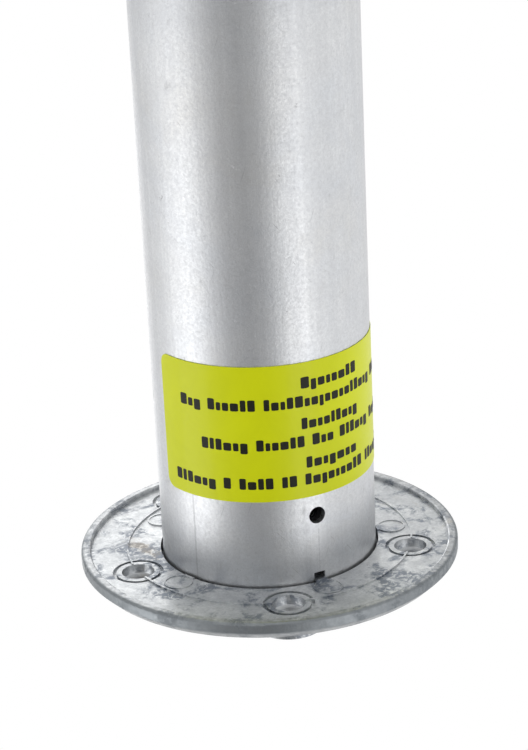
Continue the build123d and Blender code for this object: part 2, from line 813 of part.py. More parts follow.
with BuildPart() as lock_cover:
    with BuildSketch(Plane.XY.offset(cover_bottom)):
        with Locations((0, lock_y)):
            Circle(cover_d / 2)
        with Locations((0, pivot_y)):
            Circle(cover_pivot_head_d / 2)
        make_hull()
        with Locations((0, pivot_y)):
            Circle(cover_pivot_d / 2 + slide_clearance, mode=Mode.SUBTRACT)
    extrude(amount=cover_thickness)
    chamfer(edges().group_by(Axis.Z)[-1], length=edge_round)
    with Locations((0, lock_y + cover_d / 4, cover_top)):
        Cylinder(cover_dimple_d / 2, cover_thickness, mode=Mode.SUBTRACT)

lock_cover.part.label = "lock_cover"
export_step(lock_cover.part, "parts/lock_cover.step")

with BuildPart() as cover_pivot:
    with Locations((0, pivot_y, cover_top + slide_clearance)):
        pivot_length = cover_lift + cover_thickness + slide_clearance + cover_pivot_depth
        Cylinder(cover_pivot_d / 2, pivot_length, align=below)
        Cylinder(cover_pivot_head_d / 2, cover_pivot_head_height, align=above)
    chamfer(edges().group_by(Axis.Z)[-1], length=edge_round)
    with BuildSketch(Plane.XY.offset(pivot_top)):
        with Locations((0, pivot_y)):
            RegularPolygon(screw_drive / 2, 6)
    extrude(amount=-cover_pivot_head_height, mode=Mode.SUBTRACT)

cover_pivot.part.label = "cover_pivot"
export_step(cover_pivot.part, "parts/cover_pivot.step")

# Casing tube
with BuildPart() as casing_tube:
    with BuildSketch(Plane.XY.offset(casing_bottom)):
        Circle(casing_r)
        Circle(casing_bore_r, mode=Mode.SUBTRACT)
    extrude(amount=casing_depth + socket_depth)
    for angle in angles(slot_count, slot_angle):
        with BuildSketch(ray(angle, z=(socket_depth + cut_over - slot_depth) / 2)):
            Rectangle(slot_width, socket_depth + cut_over + slot_depth)
        extrude(amount=casing_r + cut_over, mode=Mode.SUBTRACT)
    with BuildSketch(ray(slot_angle, z=-pin_hole_depth)):
        Circle(pin_hole_d / 2)
    extrude(amount=casing_r + cut_over, mode=Mode.SUBTRACT)
    for z in rivet_heights:
        with Locations(ray(rail_angle, z)):
            Cylinder(rivet_d / 2 + press_clearance, casing_r + cut_over, align=above, mode=Mode.SUBTRACT)
    for z in (latch_z, latch_z + post_travel):
        with BuildSketch(ray(90, z)):
            Rectangle(latch_width + 2 * window_margin, latch_thickness + 2 * window_margin)
        extrude(amount=casing_r + cut_over, mode=Mode.SUBTRACT)
    radial_screw_holes(foot_turns, casing_bottom + foot_screw_inset, casing_r)

casing_tube.part.label = "casing_tube"
export_step(casing_tube.part, "parts/casing_tube.step")
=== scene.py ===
import json
import math

import bpy
from mathutils import Matrix, Vector


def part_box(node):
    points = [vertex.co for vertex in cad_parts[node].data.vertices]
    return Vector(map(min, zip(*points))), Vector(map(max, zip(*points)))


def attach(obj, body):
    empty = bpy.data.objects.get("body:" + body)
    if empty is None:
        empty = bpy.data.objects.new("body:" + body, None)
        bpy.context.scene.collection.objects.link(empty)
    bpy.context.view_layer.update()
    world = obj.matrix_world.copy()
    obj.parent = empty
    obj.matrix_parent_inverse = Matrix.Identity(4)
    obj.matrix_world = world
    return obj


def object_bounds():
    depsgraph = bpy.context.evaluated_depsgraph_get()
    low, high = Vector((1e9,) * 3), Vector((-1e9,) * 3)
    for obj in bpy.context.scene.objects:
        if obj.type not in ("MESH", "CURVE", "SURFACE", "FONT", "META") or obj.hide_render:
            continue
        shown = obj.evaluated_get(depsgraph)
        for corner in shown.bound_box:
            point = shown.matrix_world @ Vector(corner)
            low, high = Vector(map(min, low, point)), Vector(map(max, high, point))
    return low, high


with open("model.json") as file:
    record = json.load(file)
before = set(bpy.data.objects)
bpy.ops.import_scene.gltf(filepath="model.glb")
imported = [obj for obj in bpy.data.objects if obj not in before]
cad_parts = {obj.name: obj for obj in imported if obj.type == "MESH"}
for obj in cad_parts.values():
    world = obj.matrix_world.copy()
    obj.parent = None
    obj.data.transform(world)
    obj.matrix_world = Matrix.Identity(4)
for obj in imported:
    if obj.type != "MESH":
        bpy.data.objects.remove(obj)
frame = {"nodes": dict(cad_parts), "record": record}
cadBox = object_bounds()
mm = 0.001


def addNode(tree, kind, inputs=None, **settings):
    node = tree.nodes.new(kind)
    for name, value in settings.items():
        setattr(node, name, value)
    for name, value in (inputs or {}).items():
        node.inputs[name].default_value = value
    return node


def mathNode(tree, operation, first, second=None):
    node = addNode(tree, "ShaderNodeMath", operation=operation)
    for index, value in enumerate((first, second)):
        if value is None:
            continue
        if isinstance(value, (int, float)):
            node.inputs[index].default_value = value
        else:
            tree.links.new(value, node.inputs[index])
    return node.outputs[0]


def mixColours(tree, factor, first, second):
    node = addNode(tree, "ShaderNodeMix", data_type="RGBA")
    for socket, value in ((node.inputs[0], factor), (node.inputs[6], first), (node.inputs[7], second)):
        if isinstance(value, (int, float)):
            socket.default_value = value
        elif isinstance(value, tuple):
            socket.default_value = (*value, 1)
        else:
            tree.links.new(value, socket)
    return node.outputs[2]


def mapRange(tree, value, low, high, toLow, toHigh):
    node = addNode(tree, "ShaderNodeMapRange")
    tree.links.new(value, node.inputs[0])
    for index, number in enumerate((low, high, toLow, toHigh), 1):
        node.inputs[index].default_value = number
    return node.outputs[0]


def newGroup(name, inputs, outputs):
    group = bpy.data.node_groups.new(name, "ShaderNodeTree")
    for label, kind, value in inputs:
        socket = group.interface.new_socket(label, in_out="INPUT", socket_type=kind)
        if value is not None:
            socket.default_value = value
    for label in outputs:
        group.interface.new_socket(label, in_out="OUTPUT", socket_type="NodeSocketFloat")
    return group, addNode(group, "NodeGroupInput"), addNode(group, "NodeGroupOutput")


def useGroup(tree, group, vector, **values):
    node = addNode(tree, "ShaderNodeGroup", node_tree=group)
    tree.links.new(vector, node.inputs["Vector"])
    for name, value in values.items():
        node.inputs[name].default_value = value
    return node


# noise of each effect, with the part of its range that fills 0 to 1, or how soft its edge is
grainShape = {"roughness": 0.65, "spread": (0.3, 0.7)}
lineShape = {"detail": 5.0, "roughness": 0.6, "spread": (0.32, 0.68)}
blotchShape = {"detail": 7.0, "roughness": 0.68, "distortion": 0.6}
scratchShape = {"detail": 1.0, "roughness": 0.5, "softness": 0.04}


def makeGrainGroup():
    # fine even grain of a drawn or cast surface
    group, start, end = newGroup(
        "surfaceGrain",
        [("Vector", "NodeSocketVector", None), ("Scale", "NodeSocketFloat", 900.0),
         ("Detail", "NodeSocketFloat", 4.0)],
        ["Tone", "Height"])
    noise = addNode(group, "ShaderNodeTexNoise", {"Roughness": grainShape["roughness"]})
    group.links.new(start.outputs["Vector"], noise.inputs["Vector"])
    group.links.new(start.outputs["Scale"], noise.inputs["Scale"])
    group.links.new(start.outputs["Detail"], noise.inputs["Detail"])
    group.links.new(noise.outputs[0], end.inputs["Height"])
    group.links.new(mapRange(group, noise.outputs[0], *grainShape["spread"], 0, 1), end.inputs["Tone"])
    return group


def makeDrawLinesGroup():
    # streaks along the tube, left by the drawing die
    group, start, end = newGroup(
        "drawLines",
        [("Vector", "NodeSocketVector", None), ("Across", "NodeSocketFloat", 900.0),
         ("Along", "NodeSocketFloat", 6.0)],
        ["Tone", "Height"])
    scale = addNode(group, "ShaderNodeCombineXYZ")
    group.links.new(start.outputs["Across"], scale.inputs[0])
    group.links.new(start.outputs["Across"], scale.inputs[1])
    group.links.new(start.outputs["Along"], scale.inputs[2])
    stretched = addNode(group, "ShaderNodeVectorMath", operation="MULTIPLY")
    group.links.new(start.outputs["Vector"], stretched.inputs[0])
    group.links.new(scale.outputs[0], stretched.inputs[1])
    noise = addNode(group, "ShaderNodeTexNoise",
                    {"Scale": 1.0, "Detail": lineShape["detail"], "Roughness": lineShape["roughness"]})
    group.links.new(stretched.outputs[0], noise.inputs["Vector"])
    group.links.new(noise.outputs[0], end.inputs["Height"])
    group.links.new(mapRange(group, noise.outputs[0], *lineShape["spread"], 0, 1), end.inputs["Tone"])
    return group


def softStep(group, value, low, high):
    edge = addNode(group, "ShaderNodeMapRange", interpolation_type="SMOOTHSTEP")
    for index, socket in enumerate((value, low, high)):
        group.links.new(socket, edge.inputs[index])
    return edge.outputs[0]


def makeBlotchGroup():
    # patches with ragged edges, for stains and handling marks
    group, start, end = newGroup(
        "blotches",
        [("Vector", "NodeSocketVector", None), ("Scale", "NodeSocketFloat", 60.0),
         ("Cover", "NodeSocketFloat", 0.5), ("Softness", "NodeSocketFloat", 0.08)],
        ["Mask"])
    noise = addNode(group, "ShaderNodeTexNoise",
                    {"Detail": blotchShape["detail"], "Roughness": blotchShape["roughness"],
                     "Distortion": blotchShape["distortion"]})
    group.links.new(start.outputs["Vector"], noise.inputs["Vector"])
    group.links.new(start.outputs["Scale"], noise.inputs["Scale"])
    level = mathNode(group, "SUBTRACT", 1.0, start.outputs["Cover"])
    low = mathNode(group, "SUBTRACT", level, start.outputs["Softness"])
    high = mathNode(group, "ADD", level, start.outputs["Softness"])
    group.links.new(softStep(group, noise.outputs[0], low, high), end.inputs["Mask"])
    return group


def makeScratchGroup():
    # short slanted scratches round a tube: height and distance round it, both turned, then stretched
    group, start, end = newGroup(
        "scratches",
        [("Vector", "NodeSocketVector", None), ("Radius", "NodeSocketFloat", 0.03),
         ("Turn", "NodeSocketFloat", 0.6), ("Length", "NodeSocketFloat", 90.0),
         ("Width", "NodeSocketFloat", 1500.0), ("Cover", "NodeSocketFloat", 0.3)],
        ["Mask"])
    parts = addNode(group, "ShaderNodeSeparateXYZ")
    group.links.new(start.outputs["Vector"], parts.inputs[0])
    angle = mathNode(group, "ARCTAN2", parts.outputs[0], parts.outputs[1])
    around = mathNode(group, "MULTIPLY", angle, start.outputs["Radius"])
    cosine = mathNode(group, "COSINE", start.outputs["Turn"])
    sine = mathNode(group, "SINE", start.outputs["Turn"])
    across = mathNode(group, "SUBTRACT", mathNode(group, "MULTIPLY", around, cosine),
                      mathNode(group, "MULTIPLY", parts.outputs[2], sine))
    along = mathNode(group, "ADD", mathNode(group, "MULTIPLY", around, sine),
                     mathNode(group, "MULTIPLY", parts.outputs[2], cosine))
    flat = addNode(group, "ShaderNodeCombineXYZ")
    group.links.new(mathNode(group, "MULTIPLY", across, start.outputs["Width"]), flat.inputs[0])
    group.links.new(mathNode(group, "MULTIPLY", along, start.outputs["Length"]), flat.inputs[1])
    noise = addNode(group, "ShaderNodeTexNoise",
                    {"Scale": 1.0, "Detail": scratchShape["detail"], "Roughness": scratchShape["roughness"]})
    group.links.new(flat.outputs[0], noise.inputs["Vector"])
    level = mathNode(group, "SUBTRACT", 1.0, start.outputs["Cover"])
    high = mathNode(group, "ADD", level, scratchShape["softness"])
    group.links.new(softStep(group, noise.outputs[0], level, high), end.inputs["Mask"])
    return group


grain = makeGrainGroup()
drawLines = makeDrawLinesGroup()
blotches = makeBlotchGroup()
scratches = makeScratchGroup()
print("shared effects built")


def startMaterial(name):
    material = bpy.data.materials.new(name)
    material.use_nodes = True
    tree = material.node_tree
    shader = tree.nodes["Principled BSDF"]
    place = addNode(tree, "ShaderNodeTexCoord").outputs["Object"]
    return material, tree, shader, place


def placeEffects(tree, place, effects):
    return {name: useGroup(tree, group, place, **values) for name, (group, values) in effects.items()}


def paintLayers(tree, finish, masks):
    # each layer over the one before it, from the finish's bright tone up
    tone = finish["bright"]
    for name, amount, colour in finish["layers"]:
        tone = mixColours(tree, mathNode(tree, "MULTIPLY", masks[name], amount), tone, finish[colour])
    return tone


def weightedSum(tree, parts):
    total = None
    for socket, weight in parts:
        share = mathNode(tree, "MULTIPLY", socket, weight)
        total = share if total is None else mathNode(tree, "ADD", total, share)
    return total


def addBump(tree, shader, height, strength, distance):
    bump = addNode(tree, "ShaderNodeBump", {"Strength": strength, "Distance": distance})
    tree.links.new(height, bump.inputs["Height"])
    tree.links.new(bump.outputs[0], shader.inputs["Normal"])


def lineMask(tree, place, turn, halfWidth, core=0.4):
    # a straight line up the tube at this angle, at full strength over its core
    mapping = addNode(tree, "ShaderNodeMapping", {"Rotation": (0, 0, -math.radians(turn))})
    tree.links.new(place, mapping.inputs["Vector"])
    parts = addNode(tree, "ShaderNodeSeparateXYZ")
    tree.links.new(mapping.outputs[0], parts.inputs[0])
    across = mapRange(tree, mathNode(tree, "ABSOLUTE", parts.outputs[1]), halfWidth * core, halfWidth, 1, 0)
    return mathNode(tree, "MULTIPLY", across, mathNode(tree, "GREATER_THAN", parts.outputs[0], 0.0))


def splitPlace(tree, place):
    # distance from the post's axis, and height
    parts = addNode(tree, "ShaderNodeSeparateXYZ")
    tree.links.new(place, parts.inputs[0])
    across = mathNode(tree, "MULTIPLY", parts.outputs[0], parts.outputs[0])
    along = mathNode(tree, "MULTIPLY", parts.outputs[1], parts.outputs[1])
    return mathNode(tree, "SQRT", mathNode(tree, "ADD", across, along)), parts.outputs[2]


casingFinish = {
    "bright": (0.83, 0.84, 0.85), "dull": (0.58, 0.59, 0.61), "stain": (0.40, 0.40, 0.40),
    "cool": (0.58, 0.63, 0.71), "warm": (0.68, 0.65, 0.58), "dark": (0.16, 0.16, 0.17),
    "effects": {
        "lines": (drawLines, {"Across": 420.0, "Along": 5.0}),
        "hairlines": (drawLines, {"Across": 1300.0, "Along": 3.0}),
        "fine": (grain, {"Scale": 2600.0, "Detail": 3.0}),
        "speckle": (grain, {"Scale": 1150.0, "Detail": 5.0}),
        "cloud": (blotches, {"Scale": 55.0, "Cover": 0.47, "Softness": 0.16}),
        "smudge": (blotches, {"Scale": 150.0, "Cover": 0.33, "Softness": 0.07}),
        "pits": (blotches, {"Scale": 620.0, "Cover": 0.29, "Softness": 0.02}),
        "specks": (blotches, {"Scale": 300.0, "Cover": 0.305, "Softness": 0.02}),
        "coolPatch": (blotches, {"Scale": 26.0, "Cover": 0.46, "Softness": 0.14}),
        "warmPatch": (blotches, {"Scale": 34.0, "Cover": 0.40, "Softness": 0.12}),
        "scuffs": (scratches, {"Turn": 0.7, "Length": 110.0, "Width": 1500.0, "Cover": 0.245}),
        "rubs": (scratches, {"Turn": -0.35, "Length": 70.0, "Width": 2100.0, "Cover": 0.26})},
    "layers": [("coolPatch", 0.42, "cool"), ("warmPatch", 0.38, "warm"), ("lines", 0.36, "dull"),
               ("cloud", 0.32, "dull"), ("hairlines", 0.24, "dull"), ("speckle", 0.66, "dull"),
               ("fine", 0.24, "stain"), ("smudge", 0.36, "stain"), ("pits", 0.60, "stain"),
               ("specks", 0.45, "dark"), ("scuffs", 0.38, "dark"), ("rubs", 0.26, "dark"),
               ("seam", 0.20, "dark"), ("scribe", 0.30, "dark")],
    "roughness": 0.37, "rougher": {"speckle": 0.12, "smudge": 0.08},
    "raised": {"speckle": 0.7, "lines": 0.4}, "sunk": {"seam": 0.5, "specks": 0.4, "scuffs": 0.3},
    "bump": (0.65, 0.00013),
    "seamTurn": -48.3, "seamWidth": 0.00030, "seamTop": -0.0632,
    "scribeTurn": -116.4, "scribeWidth": 0.00024, "scribeTop": -0.0205}


def casingMaterial():
    material, tree, shader, place = startMaterial("drawnAluminium")
    effects = placeEffects(tree, place, casingFinish["effects"])
    masks = {name: node.outputs[0] for name, node in effects.items()}
    height = splitPlace(tree, place)[1]
    for name in ("seam", "scribe"):
        line = lineMask(tree, place, casingFinish[name + "Turn"], casingFinish[name + "Width"])
        above = mathNode(tree, "GREATER_THAN", height, casingFinish[name + "Top"])
        masks[name] = mathNode(tree, "MULTIPLY", above, line)
    # the scribed line is broken up by the grain
    masks["scribe"] = mathNode(tree, "MULTIPLY", masks["scribe"], masks["speckle"])
    tree.links.new(paintLayers(tree, casingFinish, masks), shader.inputs["Base Color"])
    rough = weightedSum(tree, [(masks[name], share) for name, share in casingFinish["rougher"].items()])
    tree.links.new(mathNode(tree, "ADD", rough, casingFinish["roughness"]), shader.inputs["Roughness"])
    shader.inputs["Metallic"].default_value = 1.0
    raised = [(effects[name].outputs["Height"], share) for name, share in casingFinish["raised"].items()]
    sunk = [(masks[name], -share) for name, share in casingFinish["sunk"].items()]
    addBump(tree, shader, weightedSum(tree, raised + sunk), *casingFinish["bump"])
    return material


castFinish = {
    "bright": (0.82, 0.835, 0.84), "grey": (0.47, 0.49, 0.51), "blue": (0.24, 0.27, 0.32),
    # the side tone is painted shade: the ring's outer side face is painted darker than its face
    "brown": (0.42, 0.33, 0.20), "sideTone": (0.235, 0.255, 0.27), "oxideAndShade": (0.26, 0.27, 0.28),
    "effects": {
        "cloud": (blotches, {"Scale": 70.0, "Cover": 0.50, "Softness": 0.12}),
        "cluster": (blotches, {"Scale": 85.0, "Cover": 0.46, "Softness": 0.06}),
        "specks": (blotches, {"Scale": 560.0, "Cover": 0.54, "Softness": 0.05}),
        "pits": (blotches, {"Scale": 900.0, "Cover": 0.31, "Softness": 0.02}),
        "stain": (blotches, {"Scale": 44.0, "Cover": 0.35, "Softness": 0.05}),
        "fine": (grain, {"Scale": 1500.0, "Detail": 5.0}),
        "coarse": (grain, {"Scale": 520.0, "Detail": 6.0})},
    # the oxide tone over the fine grain and the lip is the metal's own oxide; the layer over the recesses is
    # painted shade in that same tone
    "layers": [("cloud", 0.54, "grey"), ("coarse", 0.58, "grey"), ("bruise", 0.95, "blue"),
               ("fine", 0.34, "oxideAndShade"), ("pits", 0.55, "blue"), ("stain", 0.36, "brown"),
               ("scuffedLip", 0.60, "oxideAndShade"), ("recessShade", 0.45, "oxideAndShade"), ("side", 0.88, "sideTone")],
    "roughness": 0.27, "rougher": {"coarse": 0.14, "bruise": 0.16, "side": 0.12},
    "raised": {"fine": 0.4, "coarse": 0.6}, "bump": (0.6, 0.00022),
    # where the lip and the side face begin, by radius (the side face is painted darker, as painted shade),
    # and over what depth the recesses are painted darker, as painted shade
    "lip": (0.0498, 0.0506), "side": (0.0519, 0.0526), "recessShade": (0.0024, 0.0044)}


def castMaterial():
    material, tree, shader, place = startMaterial("castMetal")
    effects = placeEffects(tree, place, castFinish["effects"])
    masks = {name: node.outputs[0] for name, node in effects.items()}
    radius, height = splitPlace(tree, place)
    lip = mapRange(tree, radius, *castFinish["lip"], 0, 1)
    # painted shade: the ring's outer side face gets the darker side tone
    masks["side"] = mapRange(tree, radius, *castFinish["side"], 0, 1)
    # painted shade: the deeper a point sits in a hole or groove, the darker it is painted
    masks["recessShade"] = mapRange(tree, height, *castFinish["recessShade"], 0, 1)
    masks["bruise"] = mathNode(tree, "MULTIPLY", masks["cluster"], masks["specks"])
    masks["scuffedLip"] = mathNode(tree, "MULTIPLY", lip, masks["coarse"])
    tree.links.new(paintLayers(tree, castFinish, masks), shader.inputs["Base Color"])
    rough = weightedSum(tree, [(masks[name], share) for name, share in castFinish["rougher"].items()])
    tree.links.new(mathNode(tree, "ADD", rough, castFinish["roughness"]), shader.inputs["Roughness"])
    shader.inputs["Metallic"].default_value = 1.0
    raised = [(effects[name].outputs["Height"], share) for name, share in castFinish["raised"].items()]
    addBump(tree, shader, weightedSum(tree, raised), *castFinish["bump"])
    return material


labelFinish = {
    "yellow": (0.70, 0.755, 0.001), "shade": (0.57, 0.62, 0.0008), "shadeAmount": 0.5,
    "effects": {"cloud": (blotches, {"Scale": 40.0, "Cover": 0.5, "Softness": 0.25}),
                "fine": (grain, {"Scale": 1400.0, "Detail": 2.0})},
    "roughness": (0.34, 0.46), "gloss": 0.22, "coat": 0.12, "coatRoughness": 0.14, "bump": (0.15, 0.0002)}


def labelMaterial():
    material, tree, shader, place = startMaterial("labelFilm")
    effects = placeEffects(tree, place, labelFinish["effects"])
    cloud = effects["cloud"].outputs["Mask"]
    factor = mathNode(tree, "MULTIPLY", cloud, labelFinish["shadeAmount"])
    tree.links.new(mixColours(tree, factor, labelFinish["yellow"], labelFinish["shade"]),
                   shader.inputs["Base Color"])
    tree.links.new(mapRange(tree, effects["fine"].outputs["Tone"], 0, 1, *labelFinish["roughness"]),
                   shader.inputs["Roughness"])
    shader.inputs["Specular IOR Level"].default_value = labelFinish["gloss"]
    shader.inputs["Coat Weight"].default_value = labelFinish["coat"]
    shader.inputs["Coat Roughness"].default_value = labelFinish["coatRoughness"]
    addBump(tree, shader, cloud, *labelFinish["bump"])
    return material


# every other finish: two colours, roughness, metal, the grain's size and depth, and its effect
plainFinishes = {
    "post_metal": ((0.74, 0.75, 0.76), (0.58, 0.59, 0.61), 0.34, 1.0, 1500.0, 0.25, "lines"),
    "head_metal": ((0.60, 0.61, 0.62), (0.44, 0.45, 0.47), 0.38, 1.0, 1300.0, 0.35, "grain"),
    "bush_plastic": ((0.035, 0.035, 0.038), (0.02, 0.02, 0.022), 0.50, 0.0, 1600.0, 0.3, "grain"),
    "seal_rubber": ((0.022, 0.022, 0.022), (0.012, 0.012, 0.012), 0.62, 0.0, 1200.0, 0.3, "grain"),
    "buffer_rubber": ((0.03, 0.03, 0.03), (0.016, 0.016, 0.016), 0.66, 0.0, 900.0, 0.4, "grain"),
    "rail_metal": ((0.74, 0.75, 0.77), (0.55, 0.56, 0.58), 0.36, 1.0, 1400.0, 0.25, "lines"),
    "rivet_metal": ((0.76, 0.77, 0.79), (0.60, 0.61, 0.63), 0.30, 1.0, 1800.0, 0.2, "grain"),
    "plug_metal": ((0.60, 0.62, 0.63), (0.42, 0.44, 0.46), 0.42, 1.0, 900.0, 0.5, "grain"),
    "screw_steel": ((0.62, 0.62, 0.63), (0.44, 0.44, 0.45), 0.26, 1.0, 2200.0, 0.15, "grain"),
    "rod_chrome": ((0.86, 0.86, 0.88), (0.78, 0.78, 0.80), 0.10, 1.0, 2600.0, 0.05, "lines"),
    "gas_tube_paint": ((0.02, 0.02, 0.022), (0.032, 0.032, 0.034), 0.28, 0.0, 1200.0, 0.15, "grain"),
    "zinc_steel": ((0.62, 0.61, 0.57), (0.48, 0.48, 0.46), 0.32, 1.0, 1500.0, 0.25, "grain"),
    "brass_key": ((0.72, 0.54, 0.25), (0.52, 0.37, 0.15), 0.28, 1.0, 1500.0, 0.25, "grain"),
    "reflective_film": ((0.82, 0.83, 0.85), (0.68, 0.69, 0.72), 0.22, 0.15, 2400.0, 0.3, "grain"),
    "cover_metal": ((0.68, 0.68, 0.69), (0.52, 0.52, 0.54), 0.30, 1.0, 1200.0, 0.25, "lines"),
}


# what those finishes share
plainLook = {
    "detail": 4.0, "marks": {"Scale": 90.0, "Cover": 0.44, "Softness": 0.12}, "markAmount": 0.3,
    "markRoughness": 0.10, "grainAmount": 0.5, "lineAmount": 0.6, "lineShare": 0.5, "lineAlong": 8.0,
    "grainUnderLines": 0.4, "bumpDistance": 0.0001}


def plainMaterial(name):
    main, second, roughness, metallic, size, depth, effect = plainFinishes[name]
    material, tree, shader, place = startMaterial(name)
    fine = useGroup(tree, grain, place, Scale=size, Detail=plainLook["detail"])
    marks = useGroup(tree, blotches, place, **plainLook["marks"]).outputs["Mask"]
    height = fine.outputs["Height"]
    spread = mathNode(tree, "MULTIPLY", fine.outputs["Tone"], plainLook["grainAmount"])
    if effect == "lines":
        lines = useGroup(tree, drawLines, place, Across=size * plainLook["lineShare"],
                         Along=plainLook["lineAlong"])
        height = mathNode(tree, "ADD", mathNode(tree, "MULTIPLY", height, plainLook["grainUnderLines"]),
                          lines.outputs["Height"])
        spread = mathNode(tree, "MULTIPLY", lines.outputs["Tone"], plainLook["lineAmount"])
    tone = mixColours(tree, spread, main, second)
    tone = mixColours(tree, mathNode(tree, "MULTIPLY", marks, plainLook["markAmount"]), tone, second)
    tree.links.new(tone, shader.inputs["Base Color"])
    rough = mapRange(tree, marks, 0, 1, roughness, roughness + plainLook["markRoughness"])
    tree.links.new(rough, shader.inputs["Roughness"])
    shader.inputs["Metallic"].default_value = metallic
    addBump(tree, shader, height, depth, plainLook["bumpDistance"])
    return material


finishes = {"drawn_aluminium": casingMaterial(), "cast_metal": castMaterial(), "label_film": labelMaterial()}
for finishName in plainFinishes:
    finishes[finishName] = plainMaterial(finishName)
for subpart in frame["record"]["subparts"]:
    part = frame["nodes"][subpart["node"]]
    part.data.materials.clear()
    part.data.materials.append(finishes[subpart["material_slot"]])
print("materials given to", len(frame["nodes"]), "nodes")

# widths and heights of the strokes vary by remainders of these mixes of stroke, word and word length
labelPrint = {"turn": -127.5, "lift": 0.00003, "depth": 0.00004, "round": 0.00028, "segments": 3,
              "gap": 0.42, "space": 1.5, "ground": 1.2, "widthMix": (7, 5, 3), "widths": 5,
              "widthStep": 0.2, "kindMix": (5, 3, 1), "kinds": 9, "tallKinds": (2, 7), "deepKind": 4}
# foot and head of each kind of stroke above the line, in millimetres
strokeKinds = {"small": (0.0, 2.25), "tall": (0.0, 3.15), "deep": (-0.75, 2.25)}
# each line: its depth below the ring, its length, and the strokes in each of its words
printLines = [(56.3, 18.9, (8,)), (51.2, 87.6, (3, 6, 17, 11)), (44.9, 19.3, (9,)),
              (39.9, 74.6, (6, 6, 3, 6, 9)), (33.7, 17.4, (7,)), (28.9, 94.2, (6, 1, 4, 2, 9, 5, 9))]


def deselectAll():
    if bpy.context.object and bpy.context.object.mode != "OBJECT":
        bpy.ops.object.mode_set(mode="OBJECT")
    bpy.ops.object.select_all(action="DESELECT")


inkFinish = {"black": (0.006, 0.006, 0.004), "worn": (0.018, 0.019, 0.008), "scale": 2500.0, "detail": 3.0,
             "roughness": (0.44, 0.56), "gloss": 0.25, "bump": (0.1, 0.00003)}


def inkMaterial():
    material, tree, shader, place = startMaterial("labelInk")
    fine = useGroup(tree, grain, place, Scale=inkFinish["scale"], Detail=inkFinish["detail"])
    tree.links.new(mixColours(tree, fine.outputs["Tone"], inkFinish["black"], inkFinish["worn"]),
                   shader.inputs["Base Color"])
    tree.links.new(mapRange(tree, fine.outputs["Tone"], 0, 1, *inkFinish["roughness"]),
                   shader.inputs["Roughness"])
    shader.inputs["Specular IOR Level"].default_value = inkFinish["gloss"]
    addBump(tree, shader, fine.outputs["Height"], *inkFinish["bump"])
    return material


def makeStroke(foot, top):
    # one stroke a millimetre wide, with its four upright corners rounded
    deselectAll()
    bpy.ops.mesh.primitive_cube_add(size=1, location=(0, 0, (foot + top) / 2 * mm))
    stroke = bpy.context.object
    stroke.scale = (mm, labelPrint["depth"], (top - foot) * mm)
    bpy.ops.object.transform_apply(location=True, rotation=True, scale=True)
    bevel = stroke.modifiers.new("roundCorners", "BEVEL")
    bevel.width = labelPrint["round"]
    bevel.segments = labelPrint["segments"]
    bevel.limit_method = "WEIGHT"
    weights = stroke.data.attributes.new("bevel_weight_edge", "FLOAT", "EDGE")
    for edge in stroke.data.edges:
        ends = [stroke.data.vertices[index].co for index in edge.vertices]
        alongDepth = abs(ends[0].y - ends[1].y) > labelPrint["depth"] / 2
        weights.data[edge.index].value = 1.0 if alongDepth else 0.0
    bpy.ops.object.modifier_apply(modifier=bevel.name)
    return stroke


def uneven(mix, index, wordIndex, count, size):
    return (index * mix[0] + wordIndex * mix[1] + count * mix[2]) % size


def strokeKind(index, pick):
    if index == 0 or pick in labelPrint["tallKinds"]:
        return "tall"
    return "deep" if pick == labelPrint["deepKind"] else "small"


def lineStrokes(length, words):
    # strokes of uneven width, fitted to the line's length
    raw, x = [], 0.0
    for wordIndex, count in enumerate(words):
        for index in range(count):
            step = uneven(labelPrint["widthMix"], index, wordIndex, count, labelPrint["widths"])
            pick = uneven(labelPrint["kindMix"], index, wordIndex, count, labelPrint["kinds"])
            width = 1.0 + labelPrint["widthStep"] * step
            raw.append((x, width, strokeKind(index, pick)))
            x += width + labelPrint["gap"]
        x += labelPrint["space"]
    fit = length / (x - labelPrint["space"] - labelPrint["gap"])
    return [(start * fit - length / 2, width * fit, kind) for start, width, kind in raw]


def buildPrint():
    low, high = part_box("label")
    surface = max(high.x, -low.y, high.y) + labelPrint["lift"]
    centre = math.radians(labelPrint["turn"])
    masters = {kind: makeStroke(*span) for kind, span in strokeKinds.items()}
    copies = []
    for depth, length, words in printLines:
        for start, width, kind in lineStrokes(length, words):
            stroke = masters[kind].copy()
            stroke.data = masters[kind].data.copy()
            bpy.context.scene.collection.objects.link(stroke)
            # the print is upright when the casing stands on its ring, so up is -Z
            stroke.scale = (width, 1, -1)
            stroke.location = ((start + width / 2) * mm, 0, (labelPrint["ground"] - depth) * mm)
            copies.append(stroke)
    deselectAll()
    for master in masters.values():
        master.select_set(True)
    bpy.ops.object.delete()
    for stroke in copies:
        stroke.select_set(True)
    bpy.context.view_layer.objects.active = copies[0]
    bpy.ops.object.join()
    printed = bpy.context.object
    printed.name = "labelPrint"
    bpy.ops.object.transform_apply(location=True, rotation=True, scale=True)
    for vertex in printed.data.vertices:
        turn = centre - vertex.co.x / surface
        radius = surface - vertex.co.y
        vertex.co = Vector((radius * math.cos(turn), radius * math.sin(turn), vertex.co.z))
    bpy.ops.object.mode_set(mode="EDIT")
    bpy.ops.mesh.select_all(action="SELECT")
    bpy.ops.mesh.normals_make_consistent(inside=False)
    bpy.ops.object.mode_set(mode="OBJECT")
    return printed


labelInk = buildPrint()
labelInk.data.materials.append(inkMaterial())
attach(labelInk, "ground")
print("label printed")


studio = {"floorDrop": 0.0006, "floorSize": 9.0, "floorTone": (0.84, 0.84, 0.8358), "floorRoughness": 0.75,
          "backdrop": 1.0, "ambient": 1.3}
# brightness round the studio, in degrees from the front, growing towards -X
studioRamp = [(-180, 0.86), (-137, 0.78), (-101, 1.08), (-78, 1.04), (-55, 0.80), (-35, 0.48), (-17, 0.30),
              (1, 0.25), (19, 0.43), (38, 1.22), (57, 1.13), (79, 0.96), (105, 1.08), (150, 0.98),
              (180, 0.86)]


